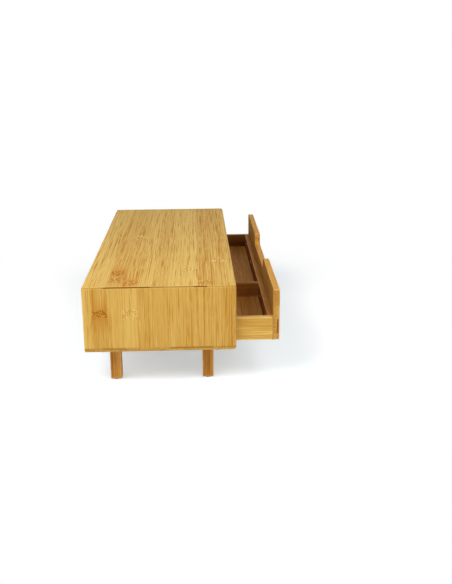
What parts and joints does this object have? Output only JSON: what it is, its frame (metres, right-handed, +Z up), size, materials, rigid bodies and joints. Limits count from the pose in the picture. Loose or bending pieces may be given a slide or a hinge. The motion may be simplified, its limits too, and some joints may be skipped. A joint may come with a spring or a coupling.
{
  "type": "laptop stand with drawer",
  "caption": "Low bamboo laptop stand: mitred box case on short square legs with a full-width sliding drawer, finger notch in its tall front and a divided shallow tray.",
  "frame": {"origin": "on the desk, under the middle of the stand's outline as it stands with the drawer pulled out by 58 mm", "axes": "+X along the case to the right of someone sitting at it, +Y from the drawer's face to the closed back, +Z up"},
  "size_m": [0.48, 0.258, 0.14],
  "materials": {
    "bamboo_case": "clear satin lacquer on laminated bamboo",
    "bamboo_front": "clear satin lacquer on laminated bamboo",
    "bamboo_drawer": "clear satin lacquer on laminated bamboo",
    "bamboo_ply": "thin bamboo ply, sealed",
    "bamboo_guide": "planed bamboo strip, unfinished",
    "bamboo_leg": "clear satin lacquer on darker carbonised bamboo",
    "hardwood_dowel": "plain hardwood",
    "zinc_steel": "bright zinc plating",
    "brass_insert": "plain brass",
    "foot_rubber": "matt black rubber"
  },
  "bodies": {
    "case": {"top_panel": "bamboo_case", "left_end_panel": "bamboo_case", "right_end_panel": "bamboo_case", "bottom_panel": "bamboo_case", "back_panel": "bamboo_case", "left_mitre_spline": "hardwood_dowel", "right_mitre_spline": "hardwood_dowel", "back_panel_dowels": "hardwood_dowel", "bottom_panel_screws": "zinc_steel", "left_drawer_guide": "bamboo_guide", "right_drawer_guide": "bamboo_guide", "drawer_guide_screws": "zinc_steel", "front_left_leg": "bamboo_leg", "front_right_leg": "bamboo_leg", "rear_left_leg": "bamboo_leg", "rear_right_leg": "bamboo_leg", "leg_hanger_bolts": "zinc_steel", "leg_inserts": "brass_insert", "front_left_foot": "foot_rubber", "front_right_foot": "foot_rubber", "rear_left_foot": "foot_rubber", "rear_right_foot": "foot_rubber"},
    "drawer": {"drawer_front": "bamboo_front", "drawer_inner_front": "bamboo_drawer", "drawer_back": "bamboo_drawer", "drawer_left_side": "bamboo_drawer", "drawer_right_side": "bamboo_drawer", "drawer_divider": "bamboo_drawer", "drawer_bottom": "bamboo_ply", "drawer_corner_dowels": "hardwood_dowel", "drawer_front_screws": "zinc_steel"}
  },
  "joints": [
    {"name": "drawer_slide", "type": "slide", "parent": "case", "child": "drawer", "axis": [0, -1, 0], "range_m": [-0.058, 0.092]}
  ]
}
